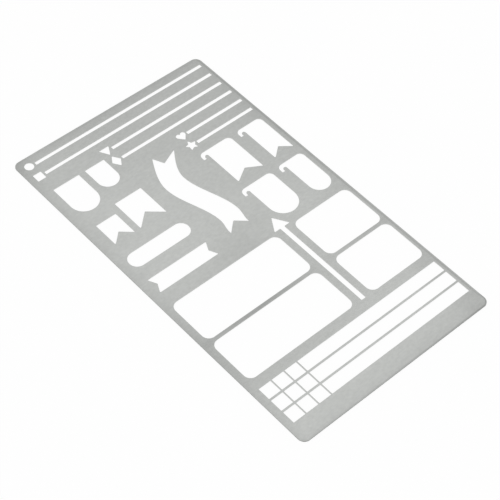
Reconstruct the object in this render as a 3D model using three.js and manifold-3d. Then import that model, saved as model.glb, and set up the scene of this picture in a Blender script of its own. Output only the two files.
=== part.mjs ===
// A journaling stencil: one flat sheet of stainless steel with marks, lines, labels and frames cut
// right through it. Millimetres. X runs across the sheet, Y along it, and Z out of its upper face.
// The origin is the middle of the sheet's lower face.

import * as THREE from 'three';
import * as BufferGeometryUtils from 'three/addons/utils/BufferGeometryUtils.js';
import Module from 'manifold-3d';

// Sheet
const SHEET_WIDTH = 101.6;
const SHEET_LENGTH = 177.8;
const SHEET_THICKNESS = 0.4;
const SHEET_CORNER_RADIUS = 3.2;

// List at the head of the sheet: six writing lines in three steps, each line led by its own mark
const LINE_WIDTH = 1.7;
const LINE_PITCH = 6.76;
const LINES_PER_STEP = 2;
const STEP_INDENT = 30.1;
const FIRST_LINE_DROP = 5.15;
const LINE_RIGHT_MARGIN = 2;
const MARK_INSET = 5.2;
const MARK_TO_LINE = 2.95;

// Marks that lead the lines, four of them set a little above or below the middle of their line
const DISC_DIAMETER = 4.2;
const DISC_RISE = 0.3;
const SQUARE_SIDE = 4.15;
const TRIANGLE_SIDE = 5.4;
const TRIANGLE_DROP = 0.25;
const DIAMOND_WIDTH = 4.55;
const DIAMOND_HEIGHT = 6.8;
const HEART_LOBE_RADIUS = 1.25;
const HEART_LOBE_SPACING = 2.3;
const HEART_HEIGHT = 4.45;
const HEART_DROP = 0.3;
const STAR_POINT_RADIUS = 3.05;
const STAR_NOTCH_RADIUS = 1.55;
const STAR_POINTS = 5;
const STAR_RISE = 0.2;

// Hooked tabs: a small and a large column at the right side, pointed ones over round ones
const TAB_RIGHT_MARGIN = 3;
const TAB_COLUMN_GAP = 3.55;
const LARGE_TAB_WIDTH = 14.1;
const SMALL_TAB_WIDTH = 10.65;
const TAB_HEIGHT = 22;
const TAB_ROW_GAP = 4.15;
const LIST_TO_TABS = 5.1;
const TABS_TO_FRAMES = 4.65;
const TAB_CORNER_RADIUS = 2.5;
const TAB_NOTCH_DEPTH = 4.2;
const HOOK_WIDTH = 1.5;
const HOOK_DROP = 3.9;
const TONGUE_WIDTH = 1.75;
const TONGUE_TOP_GAP = 2.1;

// Left column: two pockets, two pennants, a round-ended label and a ribbon label
const COLUMN_CENTRE = 20;
const POCKET_LEFT_MARGIN = 4.95;
const POCKET_GAP = 3.15;
const WIDE_POCKET_WIDTH = 13.35;
const WIDE_POCKET_HEIGHT = 18.6;
const NARROW_POCKET_WIDTH = 10.1;
const NARROW_POCKET_HEIGHT = 14.05;
const PENNANT_GAP = 2.9;
const PENNANT_DROP = 0.25;
const SHORT_PENNANT_WIDTH = 10.25;
const SHORT_PENNANT_HEIGHT = 12.75;
const SHORT_PENNANT_NOTCH = 4.55;
const TALL_PENNANT_WIDTH = 13.85;
const TALL_PENNANT_HEIGHT = 17.05;
const TALL_PENNANT_NOTCH = 5.9;
const LABEL_WIDTH = 31;
const LABEL_HEIGHT = 8;
const LABEL_GAP = 6.85;
const RIBBON_WIDTH = 30.75;
const RIBBON_NOTCH = 2.05;

// Waving banner between the left column and the tabs
const WAVE_LEFT_GAP = 5.45;
const WAVE_HEAD_GAP = 7.8;
const WAVE_WIDTH = 10.1;
const WAVE_SWING = 6.35;
const WAVE_STRIDE = 27;
const WAVE_EDGE_STEP = 0.75;
const WAVE_HEAD_WIDTH = 10.5;
const WAVE_HEAD_LENGTH = 16.95;
const WAVE_HEAD_REACH = 6.5;
const WAVE_HEAD_SLANT = 1.8;
const WAVE_HEAD_NOTCH = 5.1;
const WAVE_HEAD_NOTCH_INSET = 2.55;
const WAVE_FOOT_LENGTH = 7.6;
const WAVE_FOOT_REACH = 1.1;
const WAVE_FOOT_LEAN = 0.4;
const WAVE_FOOT_NOTCH = 4.4;

// Frames: two rows of a wide and a narrow frame, with a tall arrow between them
const FRAME_LEFT_MARGIN = 3.5;
const FRAME_RIGHT_MARGIN = 2.2;
const NARROW_FRAME_WIDTH = 30.55;
const FRAME_COLUMN_GAP = 9.1;
const FRAME_ROW_GAP = 1.7;
const FRAME_CORNER_RADIUS = 3.4;
const ARROW_SHAFT_WIDTH = 2.35;
const ARROW_HEAD_WIDTH = 8.55;
const ARROW_HEAD_LENGTH = 6.8;
const ARROW_HEAD_RISE = 0.95;

// Checklist at the foot: rows of three tick boxes and one long entry box
const FOOT_BAND = 9.25;
const CHECKLIST_TO_FRAMES = 4.8;
const CHECKLIST_ROWS = 3;
const CHECKLIST_LEFT_MARGIN = 3.65;
const CHECKLIST_RIGHT_MARGIN = 2.15;
const TICK_BOXES = 3;
const TICK_BOX_WIDTH = 6.12;
const TICK_BOX_HEIGHT = 5.95;
const COLUMN_BAR = 0.52;
const ROW_BAR = 0.85;

// How far the cutting shapes reach past each face, how far a chord may leave its true arc, and into
// how many chords each stretch of the waving banner's sides is divided
const CUT_OVERRUN = 1;
const CHORD_ERROR = 0.006;
const WAVE_SEGMENTS = 20;

// Places that several groups share, measured from the sheet's lower left corner. Lines count from 0.
const lineMarks = [disc, square, triangle, diamond, heart, star];
const lastOfFirstStep = LINES_PER_STEP - 1;
const lastOfSecondStep = 2 * LINES_PER_STEP - 1;
const lineHeight = (line) => SHEET_LENGTH - FIRST_LINE_DROP - line * LINE_PITCH;
const lineBottom = (line) => lineHeight(line) - LINE_WIDTH / 2;
const tabsTop = lineBottom(lineMarks.length - 1) - LIST_TO_TABS;
const framesTop = tabsTop - 2 * TAB_HEIGHT - TAB_ROW_GAP - TABS_TO_FRAMES;
const checklistTop = FOOT_BAND + CHECKLIST_ROWS * TICK_BOX_HEIGHT + (CHECKLIST_ROWS - 1) * ROW_BAR;
const framesBottom = checklistTop + CHECKLIST_TO_FRAMES;
const frameHeight = (framesTop - framesBottom - FRAME_ROW_GAP) / 2;
const narrowFrameLeft = SHEET_WIDTH - FRAME_RIGHT_MARGIN - NARROW_FRAME_WIDTH;
const labelRight = COLUMN_CENTRE + LABEL_WIDTH / 2;

const point = (x, y) => new THREE.Vector2(x, y);

// An arc as chords, anticlockwise when the second angle is the larger one. Angles are in degrees.
function arc(x, y, radius, from, to) {
  const sweep = THREE.MathUtils.degToRad(to - from);
  const largestStep = 2 * Math.acos(1 - CHORD_ERROR / radius);
  const count = Math.ceil(Math.abs(sweep) / largestStep);
  return Array.from({ length: count + 1 }, (_, step) => {
    const angle = THREE.MathUtils.degToRad(from) + (sweep * step) / count;
    return point(x + radius * Math.cos(angle), y + radius * Math.sin(angle));
  });
}

function rectangle(left, bottom, width, height) {
  const right = left + width;
  const top = bottom + height;
  return [point(left, bottom), point(right, bottom), point(right, top), point(left, top)];
}

function roundedRectangle(left, bottom, width, height, cornerRadius) {
  const radius = Math.min(cornerRadius, width / 2, height / 2);
  const right = left + width - radius;
  const top = bottom + height - radius;
  return [
    ...arc(right, bottom + radius, radius, -90, 0),
    ...arc(right, top, radius, 0, 90),
    ...arc(left + radius, top, radius, 90, 180),
    ...arc(left + radius, bottom + radius, radius, 180, 270),
  ];
}

// Each mark is drawn round the point where it leads its line.
function disc(x, y) {
  return arc(x, y + DISC_RISE, DISC_DIAMETER / 2, 0, 360).slice(1);
}

function square(x, y) {
  return rectangle(x - SQUARE_SIDE / 2, y - SQUARE_SIDE / 2, SQUARE_SIDE, SQUARE_SIDE);
}

function triangle(x, y) {
  const height = (TRIANGLE_SIDE * Math.sqrt(3)) / 2;
  const tip = y - TRIANGLE_DROP - height / 2;
  return [
    point(x, tip),
    point(x + TRIANGLE_SIDE / 2, tip + height),
    point(x - TRIANGLE_SIDE / 2, tip + height),
  ];
}

function diamond(x, y) {
  return [
    point(x, y - DIAMOND_HEIGHT / 2),
    point(x + DIAMOND_WIDTH / 2, y),
    point(x, y + DIAMOND_HEIGHT / 2),
    point(x - DIAMOND_WIDTH / 2, y),
  ];
}

// Two round lobes whose outer sides run straight, as tangents, to the tip.
function heart(x, y) {
  const tip = y - HEART_DROP - HEART_HEIGHT / 2;
  const lobeX = HEART_LOBE_SPACING / 2;
  const lobeY = tip + HEART_HEIGHT - HEART_LOBE_RADIUS;
  const toTip = Math.atan2(tip - lobeY, -lobeX);
  const fromLobeToTangent = Math.acos(HEART_LOBE_RADIUS / Math.hypot(lobeX, lobeY - tip));
  const start = THREE.MathUtils.radToDeg(toTip + fromLobeToTangent);
  const cleft = THREE.MathUtils.radToDeg(Math.acos(-lobeX / HEART_LOBE_RADIUS));
  const rightLobe = arc(x + lobeX, lobeY, HEART_LOBE_RADIUS, start, cleft);
  const leftLobe = rightLobe.slice(0, -1).reverse().map((p) => point(2 * x - p.x, p.y));
  return [point(x, tip), ...rightLobe, ...leftLobe];
}

function star(x, y) {
  return Array.from({ length: 2 * STAR_POINTS }, (_, corner) => {
    const radius = corner % 2 === 0 ? STAR_POINT_RADIUS : STAR_NOTCH_RADIUS;
    const angle = Math.PI / 2 + (corner * Math.PI) / STAR_POINTS;
    return point(x + radius * Math.cos(angle), y + STAR_RISE + radius * Math.sin(angle));
  });
}

function list() {
  return lineMarks.flatMap((mark, line) => {
    const x = MARK_INSET + Math.floor(line / LINES_PER_STEP) * STEP_INDENT;
    const left = x + MARK_TO_LINE;
    const length = SHEET_WIDTH - LINE_RIGHT_MARGIN - left;
    return [mark(x, lineHeight(line)), rectangle(left, lineBottom(line), length, LINE_WIDTH)];
  });
}

// A tab whose upper left corner folds over a tongue of metal and ends in a hook. Its lower end is
// cut to a swallowtail or rounded.
function hookedTab(right, top, width, pointed) {
  const bottom = top - TAB_HEIGHT;
  const left = right - width;
  const middle = right - width / 2;
  const tongueRadius = TONGUE_WIDTH / 2;
  const hookInner = left - TONGUE_WIDTH;
  const hookOuter = hookInner - HOOK_WIDTH;
  const hookEnd = top - HOOK_DROP;
  const swallowtail = [
    point(left, bottom),
    point(middle, bottom + TAB_NOTCH_DEPTH),
    point(right, bottom),
  ];
  return [
    ...(pointed ? swallowtail : arc(middle, bottom + width / 2, width / 2, 180, 360)),
    ...arc(right - TAB_CORNER_RADIUS, top - TAB_CORNER_RADIUS, TAB_CORNER_RADIUS, 0, 90),
    ...arc(hookOuter + TAB_CORNER_RADIUS, top - TAB_CORNER_RADIUS, TAB_CORNER_RADIUS, 90, 180),
    point(hookOuter, hookEnd),
    point(hookInner, hookEnd),
    ...arc(left - tongueRadius, top - TONGUE_TOP_GAP - tongueRadius, tongueRadius, 180, 0),
  ];
}

function tabs() {
  const smallTabRight = SHEET_WIDTH - TAB_RIGHT_MARGIN;
  const smallTabLeft = smallTabRight - SMALL_TAB_WIDTH - TONGUE_WIDTH - HOOK_WIDTH;
  const largeTabRight = smallTabLeft - TAB_COLUMN_GAP;
  const lowerTop = tabsTop - TAB_HEIGHT - TAB_ROW_GAP;
  return [
    hookedTab(largeTabRight, tabsTop, LARGE_TAB_WIDTH, true),
    hookedTab(smallTabRight, tabsTop, SMALL_TAB_WIDTH, true),
    hookedTab(largeTabRight, lowerTop, LARGE_TAB_WIDTH, false),
    hookedTab(smallTabRight, lowerTop, SMALL_TAB_WIDTH, false),
  ];
}

function pocket(left, top, width, height) {
  const radius = width / 2;
  return [
    ...arc(left + radius, top - height + radius, radius, 180, 360),
    point(left + width, top),
    point(left, top),
  ];
}

function pennant(left, bottom, width, height, notch) {
  return [
    point(left, bottom),
    point(left + width / 2, bottom + notch),
    point(left + width, bottom),
    point(left + width, bottom + height),
    point(left, bottom + height),
  ];
}

function ribbon(centre, bottom) {
  const left = centre - RIBBON_WIDTH / 2;
  const right = centre + RIBBON_WIDTH / 2;
  const middle = bottom + LABEL_HEIGHT / 2;
  return [
    point(left, bottom),
    point(right, bottom),
    point(right - RIBBON_NOTCH, middle),
    point(right, bottom + LABEL_HEIGHT),
    point(left, bottom + LABEL_HEIGHT),
    point(left + RIBBON_NOTCH, middle),
  ];
}

// The left column hangs between the frames and the square mark. Its four lands, under the ribbon,
// between the labels and the pennants, under the pockets and over them, share what height is left.
function leftColumn() {
  const columnTop = lineHeight(lastOfFirstStep) - SQUARE_SIDE / 2;
  const labels = 2 * LABEL_HEIGHT + LABEL_GAP;
  const land = (columnTop - framesTop - labels - SHORT_PENNANT_HEIGHT - WIDE_POCKET_HEIGHT) / 4;
  const ribbonBottom = framesTop + land;
  const labelBottom = ribbonBottom + LABEL_HEIGHT + LABEL_GAP;
  const pennantBottom = labelBottom + LABEL_HEIGHT + land - PENNANT_DROP;
  const pocketTop = columnTop - land;
  const pennantsLeft = COLUMN_CENTRE - (SHORT_PENNANT_WIDTH + PENNANT_GAP + TALL_PENNANT_WIDTH) / 2;
  const tallLeft = pennantsLeft + SHORT_PENNANT_WIDTH + PENNANT_GAP;
  const narrowLeft = POCKET_LEFT_MARGIN + WIDE_POCKET_WIDTH + POCKET_GAP;
  return [
    pocket(POCKET_LEFT_MARGIN, pocketTop, WIDE_POCKET_WIDTH, WIDE_POCKET_HEIGHT),
    pocket(narrowLeft, pocketTop, NARROW_POCKET_WIDTH, NARROW_POCKET_HEIGHT),
    pennant(
      pennantsLeft, pennantBottom, SHORT_PENNANT_WIDTH, SHORT_PENNANT_HEIGHT, SHORT_PENNANT_NOTCH,
    ),
    pennant(tallLeft, pennantBottom, TALL_PENNANT_WIDTH, TALL_PENNANT_HEIGHT, TALL_PENNANT_NOTCH),
    roundedRectangle(
      labelRight - LABEL_WIDTH, labelBottom, LABEL_WIDTH, LABEL_HEIGHT, LABEL_HEIGHT / 2,
    ),
    ribbon(COLUMN_CENTRE, ribbonBottom),
  ];
}

// One side of the waving banner, from its head tip down to its foot tip. It passes upright through
// the trough, its leftmost point, and the crest, its rightmost one. A stretch's handles are a third
// of its height.
function waveEdge(head, trough, foot) {
  const crest = point(trough.x + WAVE_SWING, trough.y - WAVE_STRIDE);
  const headHandle = (head.y - trough.y) / 3;
  const middleHandle = WAVE_STRIDE / 3;
  const footHandle = (crest.y - foot.y) / 3;
  const headLean = (head.x - trough.x) / 2;
  const stretches = [
    [
      head,
      point(head.x - headLean, head.y - headHandle),
      point(trough.x, trough.y + headHandle),
      trough,
    ],
    [
      trough,
      point(trough.x, trough.y - middleHandle),
      point(crest.x, crest.y + middleHandle),
      crest,
    ],
    [
      crest,
      point(crest.x, crest.y - footHandle),
      point(foot.x - WAVE_FOOT_LEAN, foot.y + footHandle),
      foot,
    ],
  ];
  const joined = new THREE.CurvePath();
  stretches.forEach((stretch) => joined.add(new THREE.CubicBezierCurve(...stretch)));
  return joined.getPoints(WAVE_SEGMENTS);
}

// The banner's ends are swallowtails.
function waveBanner() {
  const left = labelRight + WAVE_LEFT_GAP;
  const top = lineBottom(lastOfSecondStep) - WAVE_HEAD_GAP;
  const leftTrough = point(left, top - WAVE_HEAD_LENGTH);
  const rightTrough = point(left + WAVE_WIDTH, leftTrough.y + WAVE_EDGE_STEP);
  const leftHead = point(left + WAVE_HEAD_REACH, top);
  const rightHead = point(leftHead.x + WAVE_HEAD_WIDTH, top - WAVE_HEAD_SLANT);
  const footX = left + WAVE_SWING - WAVE_FOOT_REACH;
  const footY = leftTrough.y - WAVE_STRIDE - WAVE_FOOT_LENGTH;
  const leftFoot = point(footX, footY);
  const rightFoot = point(footX + WAVE_WIDTH, footY);
  return [
    ...waveEdge(leftHead, leftTrough, leftFoot),
    point((leftFoot.x + rightFoot.x) / 2, footY + WAVE_FOOT_NOTCH),
    ...waveEdge(rightHead, rightTrough, rightFoot).reverse(),
    point(leftHead.x + WAVE_HEAD_NOTCH_INSET, top - WAVE_HEAD_NOTCH),
  ];
}

function frames() {
  const wideWidth = narrowFrameLeft - FRAME_COLUMN_GAP - FRAME_LEFT_MARGIN;
  const rows = [framesBottom, framesBottom + frameHeight + FRAME_ROW_GAP];
  return rows.flatMap((bottom) => [
    roundedRectangle(FRAME_LEFT_MARGIN, bottom, wideWidth, frameHeight, FRAME_CORNER_RADIUS),
    roundedRectangle(narrowFrameLeft, bottom, NARROW_FRAME_WIDTH, frameHeight, FRAME_CORNER_RADIUS),
  ]);
}

// The arrow's shaft runs up between the frames, and its head stands clear above them.
function arrow() {
  const x = narrowFrameLeft - FRAME_COLUMN_GAP / 2;
  const headBottom = framesTop + ARROW_HEAD_RISE;
  const halfShaft = ARROW_SHAFT_WIDTH / 2;
  const halfHead = ARROW_HEAD_WIDTH / 2;
  return [
    point(x - halfShaft, framesBottom),
    point(x + halfShaft, framesBottom),
    point(x + halfShaft, headBottom),
    point(x + halfHead, headBottom),
    point(x, headBottom + ARROW_HEAD_LENGTH),
    point(x - halfHead, headBottom),
    point(x - halfShaft, headBottom),
  ];
}

function checklist() {
  const entryLeft = CHECKLIST_LEFT_MARGIN + TICK_BOXES * (TICK_BOX_WIDTH + COLUMN_BAR);
  const entryWidth = SHEET_WIDTH - CHECKLIST_RIGHT_MARGIN - entryLeft;
  const boxes = [];
  for (let row = 0; row < CHECKLIST_ROWS; row += 1) {
    const bottom = FOOT_BAND + row * (TICK_BOX_HEIGHT + ROW_BAR);
    for (let column = 0; column < TICK_BOXES; column += 1) {
      const left = CHECKLIST_LEFT_MARGIN + column * (TICK_BOX_WIDTH + COLUMN_BAR);
      boxes.push(rectangle(left, bottom, TICK_BOX_WIDTH, TICK_BOX_HEIGHT));
    }
    boxes.push(rectangle(entryLeft, bottom, entryWidth, TICK_BOX_HEIGHT));
  }
  return boxes;
}

const wasm = await Module();
wasm.setup();

// A closed solid of an outline between two heights, ready to be cut.
function solidOf(outline, from, to) {
  const geometry = new THREE.ExtrudeGeometry(new THREE.Shape(outline), {
    depth: to - from,
    bevelEnabled: false,
  });
  geometry.translate(0, 0, from);
  geometry.deleteAttribute('normal');
  geometry.deleteAttribute('uv');
  const merged = BufferGeometryUtils.mergeVertices(geometry);
  return new wasm.Manifold(new wasm.Mesh({
    numProp: 3,
    vertProperties: merged.attributes.position.array,
    triVerts: Uint32Array.from(merged.index.array),
  }));
}

function geometryOf(solid) {
  const mesh = solid.getMesh();
  const geometry = new THREE.BufferGeometry();
  geometry.setAttribute('position', new THREE.BufferAttribute(mesh.vertProperties, 3));
  geometry.setIndex(new THREE.BufferAttribute(mesh.triVerts, 1));
  return geometry;
}

function sheet() {
  const outline = roundedRectangle(0, 0, SHEET_WIDTH, SHEET_LENGTH, SHEET_CORNER_RADIUS);
  const cutOuts = [
    ...list(),
    ...tabs(),
    ...leftColumn(),
    waveBanner(),
    ...frames(),
    arrow(),
    ...checklist(),
  ];
  const cut = (solid, cutOut) => {
    return solid.subtract(solidOf(cutOut, -CUT_OVERRUN, SHEET_THICKNESS + CUT_OVERRUN));
  };
  const geometry = geometryOf(cutOuts.reduce(cut, solidOf(outline, 0, SHEET_THICKNESS)));
  geometry.translate(-SHEET_WIDTH / 2, -SHEET_LENGTH / 2, 0);
  return geometry;
}

const satinSteel = new THREE.MeshStandardMaterial({
  color: 0xb9bcb8,
  roughness: 0.38,
  metalness: 0.95,
  flatShading: true,
});

const stencilPlate = new THREE.Mesh(sheet(), satinSteel);
stencilPlate.name = 'stencil_plate';

const stencil = new THREE.Group();
stencil.add(stencilPlate);

export default stencil;
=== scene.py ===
"""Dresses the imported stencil: one thin sheet of brushed stainless steel, cut right through, with
softened edges, lying on a white table. Metres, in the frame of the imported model."""

import math

import bpy
from bpy.props import FloatProperty, FloatVectorProperty, IntProperty, PointerProperty
from mathutils import Euler, Matrix, Vector
from mathutils.geometry import delaunay_2d_cdt


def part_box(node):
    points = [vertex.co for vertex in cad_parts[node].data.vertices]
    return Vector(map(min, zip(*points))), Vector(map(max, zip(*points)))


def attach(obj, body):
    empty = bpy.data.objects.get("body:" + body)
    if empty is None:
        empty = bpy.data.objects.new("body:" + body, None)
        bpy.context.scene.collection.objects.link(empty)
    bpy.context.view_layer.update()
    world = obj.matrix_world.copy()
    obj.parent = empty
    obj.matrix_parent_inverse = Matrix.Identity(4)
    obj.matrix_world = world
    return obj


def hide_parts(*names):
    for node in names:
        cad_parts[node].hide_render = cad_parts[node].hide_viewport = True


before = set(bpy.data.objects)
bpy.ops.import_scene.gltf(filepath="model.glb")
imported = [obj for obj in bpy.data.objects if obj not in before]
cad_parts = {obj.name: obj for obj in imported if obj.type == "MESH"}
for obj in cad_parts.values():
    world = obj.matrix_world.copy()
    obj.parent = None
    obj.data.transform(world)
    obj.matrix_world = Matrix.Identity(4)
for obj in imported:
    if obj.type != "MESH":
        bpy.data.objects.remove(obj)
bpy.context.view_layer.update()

bl_info = {
    "name": "Journaling stencil",
    "version": (1, 0, 0),
    "blender": (4, 5, 0),
    "location": "View3D > Sidebar > Stencil",
    "description": "Builds a brushed steel journaling stencil and the table it lies on",
    "category": "Object",
}

PLATE = "stencil_plate"
MILLIMETRE = 0.001
SHEET_LOW, SHEET_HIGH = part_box(PLATE)
# The radius of the sheet's corners, as its outline has it
SHEET_CORNER = 3.2 * MILLIMETRE

# Turns of an outline that are sharper than this are corners. Flatter ones belong to an arc.
CORNER_TURN = math.radians(25)
# The share of the shorter side beside a corner that its rounding may take
CORNER_REACH = 0.45
# The grid that points of one place are matched on, and how far below the top a point of the upper
# face may lie
WELD_GRID = 1e-7
LEVEL_TOLERANCE = 1e-6
# How near to each other the face filler joins points, in millimetres
FILL_EPSILON = 1e-5
# The face filler's mode that leaves the outlines inside another one empty
INSIDE_WITH_HOLES = 2

# Where a face turns into a cut wall: the upward part of the normal, whichever way it points
FACE_TO_WALL = (0.75, 0.2)
# Where an outer wall turns into the one along the foot, whose darker colour is painted shade: the
# part of the normal towards the head
SIDE_TO_FOOT = (-0.3, -0.9)
# Where a cut-out's wall turns into the sheet's outer one: how far in from the outline it lies
CUT_TO_RIM = (1.65 * MILLIMETRE, 1.1 * MILLIMETRE)

# Lengths of the steel's patterns along X, Y and Z: hairlines in lengths and widths of a brush
# stroke, and mottle and clouds in spots of the mottle
HAIRLINE_SIZE = (0.5, 0.2, 0.2)
MOTTLE_SIZE = (1.5, 1.0, 1.0)
CLOUD_SIZE = (20.0, 12.0, 12.0)
# The size of the walls' grit, in widths of a stroke
GRIT_SIZE = 0.25
# The value that noise varies round
NOISE_MIDDLE = 0.5
# The shares of strokes, hairlines, mottle and clouds in the faces' grain
GRAIN_SHARES = (0.3, 0.15, 0.35, 0.2)
# How much darker and lighter than their own colour the faces and the walls get
FACE_CONTRAST = 0.25
WALL_CONTRAST = 0.2
# How much the strokes and the clouds vary the faces' roughness
STROKE_ROUGHNESS = 0.16
CLOUD_ROUGHNESS = 0.1
# The relief: its strength, its depth, and how much of it the walls' grit has
RELIEF_STRENGTH = 0.25
RELIEF_DEPTH = 0.01 * MILLIMETRE
GRIT_RELIEF = 2.0

# The share of the light that the darker border takes at the outer edge
BORDER_DARKENING = 0.11
# Patches of painted shade, where the metal is darker: the middle of each patch, from the middle of
# the sheet, how far it reaches along X and along Y, in millimetres, and the share of the light
# that it takes. The first six paint the uneven shade over the sheet, the last of them at the
# corner beside the disc. The other two paint the shade on the bars between the frames.
PAINTED_SHADE_PATCHES = (
    ((-32.0, -38.0), (50.0, 30.0), 0.16),
    ((-11.0, 90.0), (30.0, 31.0), 0.08),
    ((52.0, 67.0), (50.0, 60.0), 0.11),
    ((45.0, -89.0), (7.0, 60.0), 0.09),
    ((-5.0, -8.0), (13.0, 13.0), 0.07),
    ((-50.0, 88.0), (7.0, 10.0), 0.14),
    ((-20.0, -32.0), (24.0, 2.0), 0.17),
    ((35.0, -32.0), (13.0, 2.0), 0.12),
)
# Dark lines just inside the outer edge, a faint one along the head and the right side and a
# stronger one along the foot, which is painted shade of the dark wall there: how far in each lies
# and how fast it fades out
EDGE_LINE = (0.85 * MILLIMETRE, 0.4 * MILLIMETRE)
FOOT_LINE = (0.32 * MILLIMETRE, 0.28 * MILLIMETRE)
# The share of the light that the faint line takes, and what it takes more along the right side
EDGE_LINE_DARKENING = 0.03
RIGHT_SIDE_DARKENING = 0.1
# The share that the stronger line of painted shade takes at its middle, and more for each metre
# towards the right
FOOT_LINE_SHADE = 0.15
FOOT_LINE_GROWTH = 2.0
# How far in from a side a point starts to belong to it, and where it wholly does. The foot takes
# in its two corners.
SIDE_BAND = (2 * MILLIMETRE, 1 * MILLIMETRE)
FOOT_BAND = (7 * MILLIMETRE, 3.2 * MILLIMETRE)

WHITE = (1.0, 1.0, 1.0, 1.0)
BLACK = (0.0, 0.0, 0.0, 1.0)
# The table lies this far below the sheet, so that the two faces don't coincide.
TABLE_GAP = 0.02 * MILLIMETRE
# How much of the table is plain white where it is seen directly. The rest shows the shadow.
TABLE_GLOW = 0.85
# The soft lamp's height above the table and the length of its sides
LAMP_HEIGHT = 1.0
LAMP_SIZE = 1.2
# The width of the camera's sensor, in millimetres as its lens is
SENSOR_WIDTH = 36.0


class SheetSettings(bpy.types.PropertyGroup):
    """Sizes of the dressed sheet's edges."""

    edge_radius: FloatProperty(
        name="Edge radius",
        description="Rounding between a face and a cut wall, as tumbling leaves it",
        default=0.05 * MILLIMETRE,
        min=0.01 * MILLIMETRE,
        max=0.15 * MILLIMETRE,
        precision=5,
        unit="LENGTH",
        subtype="DISTANCE",
    )
    corner_radius: FloatProperty(
        name="Corner radius",
        description="Rounding of a cut-out's sharp corners in plan, as the cutting leaves it",
        default=0.3 * MILLIMETRE,
        min=0.06 * MILLIMETRE,
        max=0.6 * MILLIMETRE,
        precision=5,
        unit="LENGTH",
        subtype="DISTANCE",
    )
    edge_steps: IntProperty(
        name="Edge steps",
        description="Rows of faces across the rounding of an edge",
        default=3,
        min=1,
        max=8,
    )
    corner_step: FloatProperty(
        name="Corner step",
        description="Largest turn between two points of a rounded corner",
        default=math.radians(20),
        min=math.radians(5),
        max=math.radians(45),
        unit="ROTATION",
        subtype="ANGLE",
    )


class SteelSettings(bpy.types.PropertyGroup):
    """Colours and grain of the brushed steel."""

    face_colour: FloatVectorProperty(
        name="Face",
        description="Colour of the brushed faces",
        default=(0.489, 0.499, 0.485),
        min=0.0,
        max=1.0,
        size=3,
        subtype="COLOR",
    )
    # The cut-out walls' colour is partly their etched finish and partly painted highlight,
    # brighter for the light that their upper rounding catches.
    cut_colour: FloatVectorProperty(
        name="Cut-out walls",
        description="Colour of the bright etched walls of the cut-outs",
        default=(0.62, 0.625, 0.615),
        min=0.0,
        max=1.0,
        size=3,
        subtype="COLOR",
    )
    rim_colour: FloatVectorProperty(
        name="Outer edge",
        description="Colour of the dull sheared wall round the sheet",
        default=(0.34, 0.345, 0.34),
        min=0.0,
        max=1.0,
        size=3,
        subtype="COLOR",
    )
    # Painted shade: the wall along the foot gets this darker colour for the shade it lies in.
    foot_shade_colour: FloatVectorProperty(
        name="Foot edge",
        description="Colour of the sheared wall along the foot, which is darker than the others",
        default=(0.11, 0.112, 0.11),
        min=0.0,
        max=1.0,
        size=3,
        subtype="COLOR",
    )
    face_roughness: FloatProperty(
        name="Face roughness",
        description="Roughness of the brushed faces",
        default=0.36,
        min=0.05,
        max=1.0,
        subtype="FACTOR",
    )
    wall_roughness: FloatProperty(
        name="Wall roughness",
        description="Roughness of the cut walls",
        default=0.5,
        min=0.05,
        max=1.0,
        subtype="FACTOR",
    )
    streak_length: FloatProperty(
        name="Streak length",
        description="Length of the brush strokes, which run across the sheet",
        default=2.5 * MILLIMETRE,
        min=0.5 * MILLIMETRE,
        max=50 * MILLIMETRE,
        unit="LENGTH",
        subtype="DISTANCE",
    )
    streak_width: FloatProperty(
        name="Streak width",
        description="Width of the coarser brush strokes",
        default=0.35 * MILLIMETRE,
        min=0.05 * MILLIMETRE,
        max=2 * MILLIMETRE,
        precision=5,
        unit="LENGTH",
        subtype="DISTANCE",
    )
    mottle_size: FloatProperty(
        name="Mottle size",
        description="Width of the faint uneven spots that show under the brushing",
        default=1.1 * MILLIMETRE,
        min=0.1 * MILLIMETRE,
        max=5 * MILLIMETRE,
        precision=5,
        unit="LENGTH",
        subtype="DISTANCE",
    )
    # The border gets darker towards the outer edge; this is how far in that fades out.
    border_depth: FloatProperty(
        name="Border depth",
        description="How far in from the outline the handled, slightly duller border fades out",
        default=4 * MILLIMETRE,
        min=0.5 * MILLIMETRE,
        max=20 * MILLIMETRE,
        unit="LENGTH",
        subtype="DISTANCE",
    )


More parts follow.
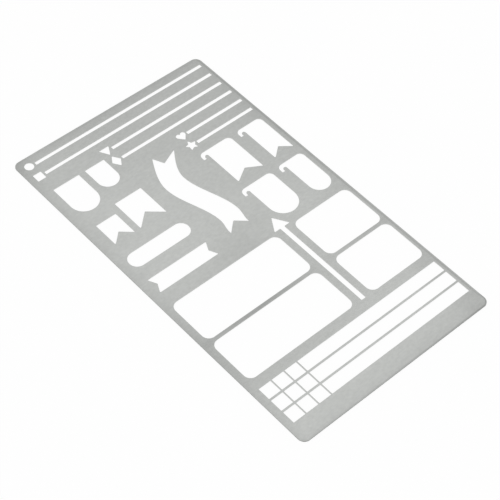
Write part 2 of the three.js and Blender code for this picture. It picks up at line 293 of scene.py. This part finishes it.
class StageSettings(bpy.types.PropertyGroup):
    """The camera, the lamp and the table."""

    azimuth: FloatProperty(
        name="Azimuth",
        description="Where the camera stands round the sheet; at 0 it looks along +Y",
        default=math.radians(-45.404),
        unit="ROTATION",
        subtype="ANGLE",
    )
    elevation: FloatProperty(
        name="Elevation",
        description="How high the camera stands above the table",
        default=math.radians(51.218),
        unit="ROTATION",
        subtype="ANGLE",
    )
    roll: FloatProperty(
        name="Roll",
        description="How far the camera leans to its side",
        default=math.radians(4.322),
        unit="ROTATION",
        subtype="ANGLE",
    )
    distance: FloatProperty(
        name="Distance",
        description="From the camera to the point it looks at",
        default=0.63962,
        min=0.05,
        max=10.0,
        unit="LENGTH",
        subtype="DISTANCE",
    )
    aim: FloatVectorProperty(
        name="Aim",
        description="The point on the sheet's upper face that the camera looks at",
        default=(-0.004674, -0.00822, 0.0004),
        size=3,
        unit="LENGTH",
        subtype="TRANSLATION",
    )
    lens: FloatProperty(
        name="Lens",
        description="Focal length in millimetres on a sensor 36 mm wide",
        default=114.279,
        min=10.0,
        max=500.0,
        unit="CAMERA",
    )
    key_power: FloatProperty(
        name="Key lamp",
        description="Power of the large soft lamp, in watts",
        default=1.0,
        min=0.0,
        max=100.0,
        unit="POWER",
    )
    ambient: FloatProperty(
        name="Ambient",
        description="Strength of the light from all round, on surfaces that aren't glossy",
        default=0.93,
        min=0.0,
        max=2.0,
    )
    floor_colour: FloatVectorProperty(
        name="Table",
        description="Colour of the table",
        default=(0.95, 0.95, 0.95),
        min=0.0,
        max=1.0,
        size=3,
        subtype="COLOR",
    )
    floor_size: FloatProperty(
        name="Table size",
        description="Length of the table's sides",
        default=6.0,
        min=0.5,
        max=50.0,
        unit="LENGTH",
        subtype="DISTANCE",
    )


class Value:
    """A node's output that can be written in sums. Each operation adds its Math node."""

    def __init__(self, nodes, socket):
        self.nodes = nodes
        self.socket = socket

    def math(self, operation, *others):
        values = dict(enumerate((self, *others)))
        return self.nodes.add("ShaderNodeMath", {"operation": operation}, values)

    def reflected(self, operation, other):
        return self.nodes.add("ShaderNodeMath", {"operation": operation}, {0: other, 1: self})

    def __add__(self, other):
        return self.math("ADD", other)

    __radd__ = __add__

    def __mul__(self, other):
        return self.math("MULTIPLY", other)

    __rmul__ = __mul__

    def __sub__(self, other):
        return self.math("SUBTRACT", other)

    def __rsub__(self, other):
        return self.reflected("SUBTRACT", other)

    def __truediv__(self, other):
        return self.math("DIVIDE", other)

    def __rtruediv__(self, other):
        return self.reflected("DIVIDE", other)

    def __neg__(self):
        return self * -1.0

    def __abs__(self):
        return self.math("ABSOLUTE")


class Nodes:
    """The node tree of a material or a world, emptied and ready to be filled."""

    def __init__(self, owner):
        owner.use_nodes = True
        self.tree = owner.node_tree
        self.tree.nodes.clear()

    def add(self, kind, settings=None, values=None, output=0):
        """Adds a node, sets it, joins or sets its sockets, and gives the named output."""
        node = self.tree.nodes.new(kind)
        for name, setting in (settings or {}).items():
            setattr(node, name, setting)
        for key, value in (values or {}).items():
            if isinstance(value, Value):
                self.tree.links.new(value.socket, node.inputs[key])
            else:
                node.inputs[key].default_value = value
        return Value(self, node.outputs[output]) if len(node.outputs) else None


def component(nodes, vector, axis):
    """One component of a vector, by the axis's letter."""
    return nodes.add("ShaderNodeSeparateXYZ", values={0: vector}, output=axis)


def noise(nodes, position, size, detail):
    """Noise round NOISE_MIDDLE, whose blots have the given lengths along X, Y and Z."""
    scaled = nodes.add(
        "ShaderNodeVectorMath",
        {"operation": "MULTIPLY"},
        {0: position, 1: [1 / length for length in size]},
    )
    settings = {"noise_dimensions": "3D"}
    values = {"Vector": scaled, "Scale": 1.0, "Detail": detail}
    return nodes.add("ShaderNodeTexNoise", settings, values)


def blend(nodes, factor, low, high):
    """A colour between two colours."""
    settings = {"data_type": "RGBA", "blend_type": "MIX", "clamp_factor": True}
    return nodes.add("ShaderNodeMix", settings, {0: factor, 6: low, 7: high}, output=2)


def ramp(nodes, value, zero, one):
    """0 where the value is at the first limit, 1 where it is at the second, smooth between."""
    settings = {"interpolation_type": "SMOOTHSTEP"}
    values = {"Value": value, "From Min": zero, "From Max": one}
    return nodes.add("ShaderNodeMapRange", settings, values)


def times(multiples, lengths):
    """Each length, so many times."""
    return [multiple * length for multiple, length in zip(multiples, lengths)]


def shade(colour, share):
    """The same colour at a share of its brightness, opaque."""
    return (*(channel * share for channel in colour), 1.0)


def varied(nodes, pattern, colour, contrast):
    """The colour, made darker and lighter by a pattern."""
    return blend(nodes, pattern, shade(colour, 1 - contrast), shade(colour, 1 + contrast))


def bell(value):
    """1 where the value is 0, fading to 0 on both sides."""
    return (-(value * value)).math("EXPONENT")


def patch_depth(nodes, position, patch):
    """The share of the light that a soft-edged round patch takes from each point."""
    (x, y), (reach_x, reach_y), depth = patch
    from_middle = nodes.add(
        "ShaderNodeVectorMath",
        {"operation": "SUBTRACT"},
        {0: position, 1: (x * MILLIMETRE, y * MILLIMETRE, 0.0)},
    )
    in_reaches = nodes.add(
        "ShaderNodeVectorMath",
        {"operation": "MULTIPLY"},
        {0: from_middle, 1: (1 / (reach_x * MILLIMETRE), 1 / (reach_y * MILLIMETRE), 0.0)},
    )
    distance = nodes.add("ShaderNodeVectorMath", {"operation": "LENGTH"}, {0: in_reaches}, "Value")
    return depth * bell(distance)


def depth_inward(nodes, position):
    """How far in from the sheet's outline each point lies, round the corners too."""
    past_x = abs(component(nodes, position, "X")) - (SHEET_HIGH.x - SHEET_CORNER)
    past_y = abs(component(nodes, position, "Y")) - (SHEET_HIGH.y - SHEET_CORNER)
    corner_x = past_x.math("MAXIMUM", 0.0)
    corner_y = past_y.math("MAXIMUM", 0.0)
    from_centre = (corner_x * corner_x + corner_y * corner_y).math("SQRT")
    within = past_x.math("MAXIMUM", past_y).math("MINIMUM", 0.0)
    return (SHEET_CORNER - from_centre - within).math("MAXIMUM", 0.0)


def line_depth(inward, line):
    """1 on a line that follows the outer edge, fading to 0 beside it."""
    inset, width = line
    return bell((inward - inset) / width)


def shade_and_darkening_share(nodes, position, inward, border_depth):
    """The share of the light that the darker border, the edge lines and the patches take. The
    patches and the line along the foot are painted shade.
    """
    across = component(nodes, position, "X")
    along = component(nodes, position, "Y")
    at_foot = ramp(nodes, SHEET_HIGH.y + along, *FOOT_BAND)
    at_left = ramp(nodes, SHEET_HIGH.x + across, *SIDE_BAND)
    at_right = ramp(nodes, SHEET_HIGH.x - across, *SIDE_BAND)
    faint = EDGE_LINE_DARKENING + RIGHT_SIDE_DARKENING * at_right
    shade_at_foot = FOOT_LINE_SHADE + FOOT_LINE_GROWTH * across
    lines = line_depth(inward, EDGE_LINE) * faint * ((1 - at_foot) * (1 - at_left))
    # The line along the foot is painted shade.
    lines += line_depth(inward, FOOT_LINE) * at_foot * shade_at_foot
    # Darker towards the outer edge
    border = (-(inward / border_depth)).math("EXPONENT")
    # Patches of painted shade
    patches = sum(patch_depth(nodes, position, patch) for patch in PAINTED_SHADE_PATCHES)
    return border * BORDER_DARKENING + patches + lines


def brushed_steel(steel):
    """Satin stainless steel brushed across the sheet, with rougher cut walls and a darker border.
    Its patches, the line along the foot and the foot wall are painted shade, and the cut-out walls
    are partly painted highlight.
    """
    material = bpy.data.materials.new("brushed_steel")
    nodes = Nodes(material)
    position = nodes.add("ShaderNodeTexCoord", output="Object")
    normal = nodes.add("ShaderNodeTexCoord", output="Normal")
    wall = ramp(nodes, abs(component(nodes, normal, "Z")), *FACE_TO_WALL)
    foot_wall = ramp(nodes, component(nodes, normal, "Y"), *SIDE_TO_FOOT)
    inward = depth_inward(nodes, position)
    rim = ramp(nodes, inward, *CUT_TO_RIM)

    stroke = (steel.streak_length, steel.streak_width, steel.streak_width)
    spot = (steel.mottle_size,) * 3
    grain_of_grit = (GRIT_SIZE * steel.streak_width,) * 3
    strokes = noise(nodes, position, stroke, detail=3.0)
    hairlines = noise(nodes, position, times(HAIRLINE_SIZE, stroke), detail=2.0)
    mottle = noise(nodes, position, times(MOTTLE_SIZE, spot), detail=1.0)
    clouds = noise(nodes, position, times(CLOUD_SIZE, spot), detail=3.0)
    grit = noise(nodes, position, grain_of_grit, detail=2.0)

    layers = zip(GRAIN_SHARES, (strokes, hairlines, mottle, clouds))
    grain = sum(share * layer for share, layer in layers)
    brushed = varied(nodes, grain, steel.face_colour, FACE_CONTRAST)
    # Painted shade in patches and along the foot, and a darker border
    shade_and_darkening = shade_and_darkening_share(nodes, position, inward, steel.border_depth)
    shaded_brushed = blend(nodes, shade_and_darkening, brushed, BLACK)
    # The cut-out walls are partly painted highlight.
    cut = varied(nodes, grit, steel.cut_colour, WALL_CONTRAST)
    side = varied(nodes, grit, steel.rim_colour, WALL_CONTRAST)
    # The wall along the foot gets painted shade.
    foot = varied(nodes, grit, steel.foot_shade_colour, WALL_CONTRAST)
    walls = blend(nodes, rim, cut, blend(nodes, foot_wall, side, foot))
    colour = blend(nodes, wall, shaded_brushed, walls)

    face_roughness = steel.face_roughness + STROKE_ROUGHNESS * (strokes - NOISE_MIDDLE)
    face_roughness += CLOUD_ROUGHNESS * (clouds - NOISE_MIDDLE)
    roughness = face_roughness * (1 - wall) + steel.wall_roughness * wall
    relief = (hairlines + strokes) * (1 - wall) + GRIT_RELIEF * grit * wall
    bump = nodes.add(
        "ShaderNodeBump",
        values={"Strength": RELIEF_STRENGTH, "Distance": RELIEF_DEPTH, "Height": relief},
    )
    surface = nodes.add(
        "ShaderNodeBsdfPrincipled",
        values={
            "Base Color": colour,
            "Metallic": 1.0,
            "Roughness": roughness,
            "Normal": bump,
        },
    )
    nodes.add("ShaderNodeOutputMaterial", values={"Surface": surface})
    return material


def cut_outlines(node):
    """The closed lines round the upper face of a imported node, as lists of points in the plane.
    The metal lies to the left of each line's travel."""
    mesh = node.data
    top = max(vertex.co.z for vertex in mesh.vertices)
    places = [tuple(round(c / WELD_GRID) for c in vertex.co.xy) for vertex in mesh.vertices]
    on_top = [top - vertex.co.z < LEVEL_TOLERANCE for vertex in mesh.vertices]
    steps = set()
    for face in mesh.polygons:
        corners = list(face.vertices)
        if all(on_top[corner] for corner in corners):
            for start, end in zip(corners, corners[1:] + corners[:1]):
                steps.add((places[start], places[end]))
    following = {start: end for start, end in steps if (end, start) not in steps}
    outlines = []
    while following:
        first = min(following)
        line = [first]
        point = following.pop(first)
        while point != first:
            line.append(point)
            point = following.pop(point)
        outlines.append([Vector(point) * WELD_GRID for point in line])
    return outlines


def turn_at(before, point, after):
    """How far an outline turns at a point, positive to the left."""
    arriving, leaving = point - before, after - point
    return math.atan2(arriving.cross(leaving), arriving.dot(leaving))


def round_corners(outline, radius, largest_step):
    """The outline with each sharp corner replaced by a small arc."""
    rounded = []
    count = len(outline)
    for index, point in enumerate(outline):
        before, after = outline[index - 1], outline[(index + 1) % count]
        turn = turn_at(before, point, after)
        if abs(turn) < CORNER_TURN:
            rounded.append(point)
            continue
        shorter = min((point - before).length, (after - point).length)
        reach = min(radius * math.tan(abs(turn) / 2), shorter * CORNER_REACH)
        arriving = (point - before).normalized()
        side = math.copysign(reach / math.tan(abs(turn) / 2), turn)
        centre = point - arriving * reach + arriving.orthogonal() * side
        spoke = -arriving.orthogonal() * side
        steps = math.ceil(abs(turn) / largest_step)
        for step in range(steps + 1):
            turned = spoke.copy()
            turned.rotate(Matrix.Rotation(turn * step / steps, 2))
            rounded.append(centre + turned)
    return rounded


def metal_sides(outline):
    """At each point of an outline, the step towards the metal that keeps unit distance from it."""
    sides = []
    count = len(outline)
    for index, point in enumerate(outline):
        arriving = (point - outline[index - 1]).normalized()
        leaving = (outline[(index + 1) % count] - point).normalized()
        middle = (arriving.orthogonal() + leaving.orthogonal()).normalized()
        sides.append(middle / middle.dot(leaving.orthogonal()))
    return sides


def edge_profile(thickness, radius, steps):
    """The rounded edge from the upper face's rim to the lower one's, as (distance into the metal,
    height, upward part of the normal) for each row of points."""
    upper = []
    for step in range(steps + 1):
        angle = math.pi / 2 * step / steps
        inset = radius * (1 - math.sin(angle))
        drop = radius * (1 - math.cos(angle))
        upper.append((inset, thickness - drop, math.cos(angle)))
    lower = [(inset, thickness - height, -rise) for inset, height, rise in reversed(upper)]
    return upper + lower


def face_triangles(outlines):
    """Triangles over the metal between flat outlines, as indices into all their points in turn."""
    points = [point / MILLIMETRE for outline in outlines for point in outline]
    regions = []
    start = 0
    for outline in outlines:
        region = list(range(start, start + len(outline)))
        start += len(outline)
        area = sum(points[i].cross(points[j]) for i, j in zip(region, region[1:] + region[:1]))
        regions.append(region if area > 0 else region[::-1])
    filled = delaunay_2d_cdt(points, [], regions, INSIDE_WITH_HOLES, FILL_EPSILON)
    triangles, origins = filled[2], filled[3]
    return [[origins[corner][0] for corner in triangle] for triangle in triangles]


def sheet_mesh(settings):
    """The sheet as a mesh with rounded edges, rows of points running round every cut-out."""
    thickness = SHEET_HIGH.z - SHEET_LOW.z
    outlines = [
        round_corners(outline, settings.corner_radius, settings.corner_step)
        for outline in cut_outlines(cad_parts[PLATE])
    ]
    rows = edge_profile(thickness, settings.edge_radius, settings.edge_steps)
    vertices, normals, faces = [], [], []
    upper_rim, lower_rim = [], []
    rims = []
    for outline in outlines:
        sides = metal_sides(outline)
        first = len(vertices)
        count = len(outline)
        for inset, height, rise in rows:
            for point, side in zip(outline, sides):
                place = point + side * inset
                vertices.append((place.x, place.y, SHEET_LOW.z + height))
                outward = -side.normalized() * math.sqrt(1 - rise * rise)
                normals.append((outward.x, outward.y, rise))
        upper_rim += range(first, first + count)
        lower_rim += range(first + (len(rows) - 1) * count, first + len(rows) * count)
        rims.append([point + side * rows[0][0] for point, side in zip(outline, sides)])
        for row in range(len(rows) - 1):
            for index in range(count):
                here = first + row * count + index
                beside = first + row * count + (index + 1) % count
                faces.append((beside, here, here + count, beside + count))
    for triangle in face_triangles(rims):
        faces.append([upper_rim[corner] for corner in triangle])
        faces.append([lower_rim[corner] for corner in reversed(triangle)])
    mesh = bpy.data.meshes.new("stencil_sheet")
    mesh.from_pydata(vertices, [], faces)
    mesh.polygons.foreach_set("use_smooth", [True] * len(mesh.polygons))
    mesh.normals_split_custom_set_from_vertices(normals)
    return mesh


class STENCIL_OT_sheet(bpy.types.Operator):
    """Build the brushed steel sheet with its softened cut edges"""

    bl_idname = "stencil.sheet"
    bl_label = "Sheet"

    def execute(self, context):
        mesh = sheet_mesh(context.scene.stencil_sheet)
        piece = bpy.data.objects.new("stencil_sheet", mesh)
        context.scene.collection.objects.link(piece)
        piece.data.materials.append(brushed_steel(context.scene.stencil_steel))
        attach(piece, "root")
        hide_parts(PLATE)
        return {"FINISHED"}


def white_seen_directly(nodes):
    """1 where the camera, or a mirror or a glass, looks at the surface, and 0 for other light."""
    camera = nodes.add("ShaderNodeLightPath", output="Is Camera Ray")
    glossy = nodes.add("ShaderNodeLightPath", output="Is Glossy Ray")
    through = nodes.add("ShaderNodeLightPath", output="Is Transmission Ray")
    return camera.math("MAXIMUM", glossy).math("MAXIMUM", through)


def add_floor(stage):
    """A matt white table under the sheet."""
    half = stage.floor_size / 2
    height = SHEET_LOW.z - TABLE_GAP
    corners = [(-half, -half), (half, -half), (half, half), (-half, half)]
    mesh = bpy.data.meshes.new("table")
    mesh.from_pydata([(x, y, height) for x, y in corners], [], [(0, 1, 2, 3)])
    material = bpy.data.materials.new("matt_white")
    nodes = Nodes(material)
    lit = nodes.add("ShaderNodeBsdfDiffuse", values={"Color": shade(stage.floor_colour, 1.0)})
    glow = nodes.add("ShaderNodeEmission", values={"Color": WHITE, "Strength": 1.0})
    surface = nodes.add(
        "ShaderNodeMixShader",
        values={0: TABLE_GLOW * white_seen_directly(nodes), 1: lit, 2: glow},
    )
    nodes.add("ShaderNodeOutputMaterial", values={"Surface": surface})
    mesh.materials.append(material)
    floor = bpy.data.objects.new("table", mesh)
    bpy.context.scene.collection.objects.link(floor)


def add_world(stage):
    """Light from all round, white where it is seen directly."""
    world = bpy.data.worlds.new("studio")
    nodes = Nodes(world)
    strength = stage.ambient + (1.0 - stage.ambient) * white_seen_directly(nodes)
    background = nodes.add("ShaderNodeBackground", values={"Color": WHITE, "Strength": strength})
    nodes.add("ShaderNodeOutputWorld", values={"Surface": background})
    bpy.context.scene.world = world


def add_lamp(name, place, size, power):
    """A square soft lamp that faces the sheet."""
    lamp = bpy.data.lights.new(name, "AREA")
    lamp.shape = "SQUARE"
    lamp.size = size
    lamp.energy = power
    piece = bpy.data.objects.new(name, lamp)
    piece.location = place
    piece.rotation_euler = (-Vector(place)).to_track_quat("-Z", "Y").to_euler()
    bpy.context.scene.collection.objects.link(piece)


def add_camera(stage):
    """A camera that looks down on the sheet from beyond its lower left corner."""
    camera = bpy.data.cameras.new("camera")
    camera.lens = stage.lens
    camera.sensor_width = SENSOR_WIDTH
    piece = bpy.data.objects.new("camera", camera)
    turn = Euler((math.pi / 2 - stage.elevation, 0.0, stage.azimuth)).to_matrix()
    lean = Matrix.Rotation(stage.roll, 3, "Z")
    piece.rotation_euler = (turn @ lean).to_euler()
    piece.location = Vector(stage.aim) + turn @ Vector((0.0, 0.0, stage.distance))
    bpy.context.scene.collection.objects.link(piece)
    bpy.context.scene.camera = piece


class STENCIL_OT_stage(bpy.types.Operator):
    """Set up the table, the soft lamp, the white surroundings and the camera"""

    bl_idname = "stencil.stage"
    bl_label = "Stage"

    def execute(self, context):
        stage = context.scene.stencil_stage
        add_floor(stage)
        add_world(stage)
        add_lamp("key_lamp", (0.0, 0.0, LAMP_HEIGHT), LAMP_SIZE, stage.key_power)
        add_camera(stage)
        context.scene.view_settings.view_transform = "Standard"
        return {"FINISHED"}


class STENCIL_PT_panel(bpy.types.Panel):
    """Lists the stencil's sizes and the steps that build it"""

    bl_idname = "STENCIL_PT_panel"
    bl_label = "Journaling stencil"
    bl_space_type = "VIEW_3D"
    bl_region_type = "UI"
    bl_category = "Stencil"

    def draw(self, context):
        groups = (
            (STENCIL_OT_sheet, context.scene.stencil_sheet),
            (None, context.scene.stencil_steel),
            (STENCIL_OT_stage, context.scene.stencil_stage),
        )
        for operator, settings in groups:
            box = self.layout.box()
            for name in settings.__annotations__:
                box.prop(settings, name)
            if operator:
                box.operator(operator.bl_idname)


CLASSES = (
    SheetSettings,
    SteelSettings,
    StageSettings,
    STENCIL_OT_sheet,
    STENCIL_OT_stage,
    STENCIL_PT_panel,
)


def register():
    for cls in CLASSES:
        bpy.utils.register_class(cls)
    bpy.types.Scene.stencil_sheet = PointerProperty(type=SheetSettings)
    bpy.types.Scene.stencil_steel = PointerProperty(type=SteelSettings)
    bpy.types.Scene.stencil_stage = PointerProperty(type=StageSettings)


def unregister():
    del bpy.types.Scene.stencil_sheet
    del bpy.types.Scene.stencil_steel
    del bpy.types.Scene.stencil_stage
    for cls in reversed(CLASSES):
        bpy.utils.unregister_class(cls)


def main():
    register()
    bpy.ops.stencil.sheet()
    bpy.ops.stencil.stage()


if __name__ == "__main__":
    main()
